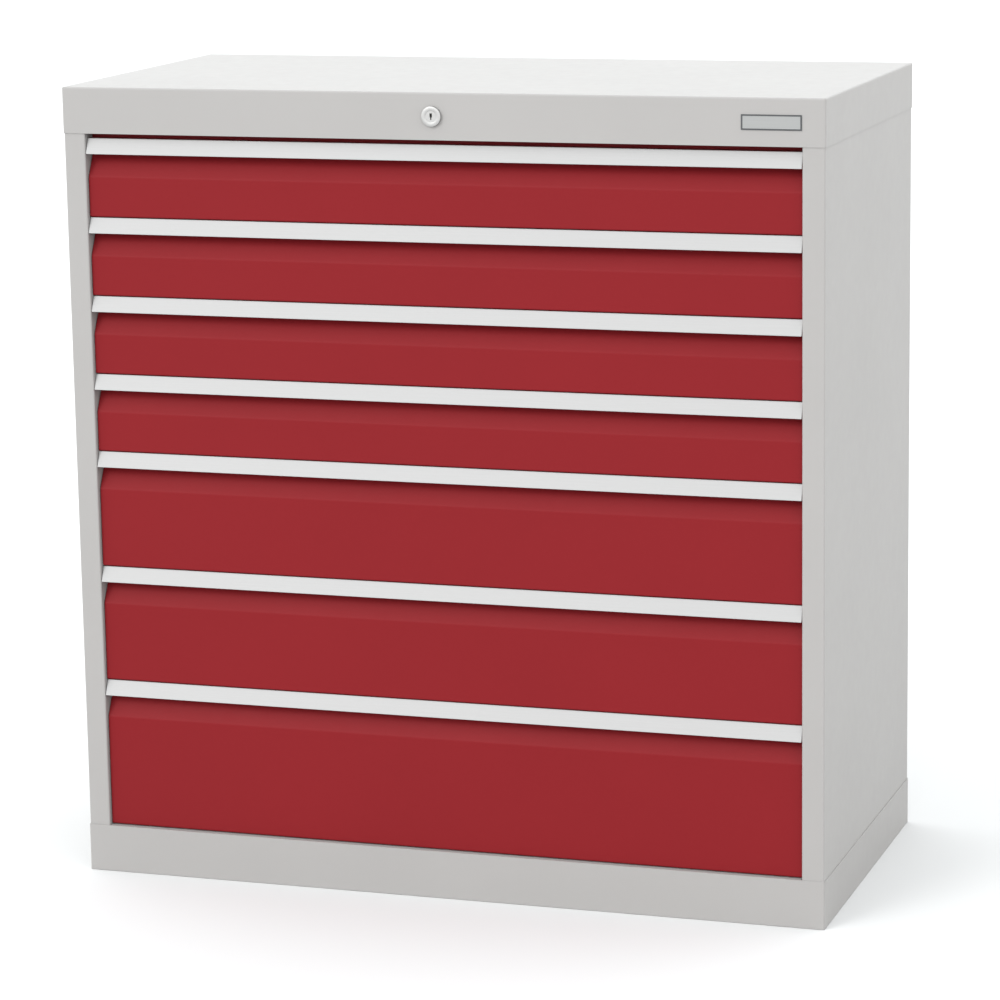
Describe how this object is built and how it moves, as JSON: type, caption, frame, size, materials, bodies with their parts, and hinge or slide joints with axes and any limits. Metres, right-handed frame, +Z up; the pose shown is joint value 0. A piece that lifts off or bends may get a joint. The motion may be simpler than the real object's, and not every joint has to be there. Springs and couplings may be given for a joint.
{
  "type": "multi-drawer cabinet",
  "caption": "Floor-standing sheet-steel workshop cabinet with full-width lockable drawers on telescopic runners, slanted handle strips and a folded hood and plinth.",
  "frame": {"origin": "on the floor, in the middle of the box round the whole cabinet, lock included", "axes": "+Z up, +Y towards the back panel, +X to the right when facing the drawers"},
  "size_m": [0.98, 0.494, 1.019],
  "materials": {
    "cabinet_paint": "light grey fine-textured powder coat",
    "front_paint": "ruby red fine-textured powder coat",
    "box_paint": "light grey powder coat",
    "handle_aluminium": "satin anodised",
    "zinc_steel": "zinc plated",
    "lock_chrome": "nickel plated",
    "plate_metal": "satin, bare",
    "guide_plastic": "moulded nylon, natural"
  },
  "bodies": {
    "cabinet": {"top_cover": "cabinet_paint", "base_tray": "cabinet_paint", "side_panel_left": "cabinet_paint", "side_panel_right": "cabinet_paint", "back_panel": "cabinet_paint", "floor_panel": "cabinet_paint", "columns": "zinc_steel", "rail_screws": "zinc_steel", "name_plate": "plate_metal", "lock_housing": "lock_chrome", "lock_nut": "zinc_steel", "crank_bracket": "zinc_steel", "bar_guides": "guide_plastic", "drawer_1_outer_rails": "zinc_steel", "drawer_2_outer_rails": "zinc_steel", "drawer_3_outer_rails": "zinc_steel", "drawer_4_outer_rails": "zinc_steel", "drawer_5_outer_rails": "zinc_steel", "drawer_6_outer_rails": "zinc_steel", "drawer_7_outer_rails": "zinc_steel"},
    "drawer_1": {"drawer_1_box": "box_paint", "drawer_1_front": "front_paint", "drawer_1_handle": "handle_aluminium", "drawer_1_inner_rails": "zinc_steel"},
    "carriage_1": {"drawer_1_middle_rails": "zinc_steel"},
    "drawer_2": {"drawer_2_box": "box_paint", "drawer_2_front": "front_paint", "drawer_2_handle": "handle_aluminium", "drawer_2_inner_rails": "zinc_steel"},
    "carriage_2": {"drawer_2_middle_rails": "zinc_steel"},
    "drawer_3": {"drawer_3_box": "box_paint", "drawer_3_front": "front_paint", "drawer_3_handle": "handle_aluminium", "drawer_3_inner_rails": "zinc_steel"},
    "carriage_3": {"drawer_3_middle_rails": "zinc_steel"},
    "drawer_4": {"drawer_4_box": "box_paint", "drawer_4_front": "front_paint", "drawer_4_handle": "handle_aluminium", "drawer_4_inner_rails": "zinc_steel"},
    "carriage_4": {"drawer_4_middle_rails": "zinc_steel"},
    "drawer_5": {"drawer_5_box": "box_paint", "drawer_5_front": "front_paint", "drawer_5_handle": "handle_aluminium", "drawer_5_inner_rails": "zinc_steel"},
    "carriage_5": {"drawer_5_middle_rails": "zinc_steel"},
    "drawer_6": {"drawer_6_box": "box_paint", "drawer_6_front": "front_paint", "drawer_6_handle": "handle_aluminium", "drawer_6_inner_rails": "zinc_steel"},
    "carriage_6": {"drawer_6_middle_rails": "zinc_steel"},
    "drawer_7": {"drawer_7_box": "box_paint", "drawer_7_front": "front_paint", "drawer_7_handle": "handle_aluminium", "drawer_7_inner_rails": "zinc_steel"},
    "carriage_7": {"drawer_7_middle_rails": "zinc_steel"},
    "lock_bar": {"lock_bar": "zinc_steel"},
    "lock_core": {"lock_plug": "lock_chrome", "lock_cam": "zinc_steel"},
    "lock_rod": {"lock_rod": "zinc_steel"},
    "bell_crank": {"bell_crank": "zinc_steel"}
  },
  "joints": [
    {"name": "drawer_1_slide", "type": "slide", "parent": "cabinet", "child": "drawer_1", "axis": [0, -1, 0], "range_m": [0, 0.4]},
    {"name": "carriage_1_slide", "type": "slide", "parent": "cabinet", "child": "carriage_1", "axis": [0, -1, 0], "range_m": [0, 0.2]},
    {"name": "drawer_2_slide", "type": "slide", "parent": "cabinet", "child": "drawer_2", "axis": [0, -1, 0], "range_m": [0, 0.4]},
    {"name": "carriage_2_slide", "type": "slide", "parent": "cabinet", "child": "carriage_2", "axis": [0, -1, 0], "range_m": [0, 0.2]},
    {"name": "drawer_3_slide", "type": "slide", "parent": "cabinet", "child": "drawer_3", "axis": [0, -1, 0], "range_m": [0, 0.4]},
    {"name": "carriage_3_slide", "type": "slide", "parent": "cabinet", "child": "carriage_3", "axis": [0, -1, 0], "range_m": [0, 0.2]},
    {"name": "drawer_4_slide", "type": "slide", "parent": "cabinet", "child": "drawer_4", "axis": [0, -1, 0], "range_m": [0, 0.4]},
    {"name": "carriage_4_slide", "type": "slide", "parent": "cabinet", "child": "carriage_4", "axis": [0, -1, 0], "range_m": [0, 0.2]},
    {"name": "drawer_5_slide", "type": "slide", "parent": "cabinet", "child": "drawer_5", "axis": [0, -1, 0], "range_m": [0, 0.4]},
    {"name": "carriage_5_slide", "type": "slide", "parent": "cabinet", "child": "carriage_5", "axis": [0, -1, 0], "range_m": [0, 0.2]},
    {"name": "drawer_6_slide", "type": "slide", "parent": "cabinet", "child": "drawer_6", "axis": [0, -1, 0], "range_m": [0, 0.4]},
    {"name": "carriage_6_slide", "type": "slide", "parent": "cabinet", "child": "carriage_6", "axis": [0, -1, 0], "range_m": [0, 0.2]},
    {"name": "drawer_7_slide", "type": "slide", "parent": "cabinet", "child": "drawer_7", "axis": [0, -1, 0], "range_m": [0, 0.4]},
    {"name": "carriage_7_slide", "type": "slide", "parent": "cabinet", "child": "carriage_7", "axis": [0, -1, 0], "range_m": [0, 0.2]},
    {"name": "lock_bar_slide", "type": "slide", "parent": "cabinet", "child": "lock_bar", "axis": [0, 0, 1], "range_m": [0, 0.01062]},
    {"name": "lock_turn", "type": "hinge", "parent": "cabinet", "child": "lock_core", "pos_m": [0, -0.2465, 0.99], "axis": [0, 1, 0], "range_deg": [0, 90]},
    {"name": "lock_rod_slide", "type": "slide", "parent": "cabinet", "child": "lock_rod", "axis": [1, 0, 0], "range_m": [0, 0.01698]},
    {"name": "crank_turn", "type": "hinge", "parent": "cabinet", "child": "bell_crank", "pos_m": [-0.4535, -0.2105, 0.97], "axis": [0, 1, 0], "range_deg": [0, 32.87]}
  ],
  "couplings": [
    {"joint": "carriage_1_slide", "follows": "drawer_1_slide", "ratio": 0.5},
    {"joint": "carriage_2_slide", "follows": "drawer_2_slide", "ratio": 0.5},
    {"joint": "carriage_3_slide", "follows": "drawer_3_slide", "ratio": 0.5},
    {"joint": "carriage_4_slide", "follows": "drawer_4_slide", "ratio": 0.5},
    {"joint": "carriage_5_slide", "follows": "drawer_5_slide", "ratio": 0.5},
    {"joint": "carriage_6_slide", "follows": "drawer_6_slide", "ratio": 0.5},
    {"joint": "carriage_7_slide", "follows": "drawer_7_slide", "ratio": 0.5},
    {"joint": "lock_turn", "follows": "lock_bar_slide", "rad_per_m": 147.96},
    {"joint": "lock_rod_slide", "follows": "lock_bar_slide", "ratio": 1.5986},
    {"joint": "crank_turn", "follows": "lock_bar_slide", "rad_per_m": 54.023}
  ]
}
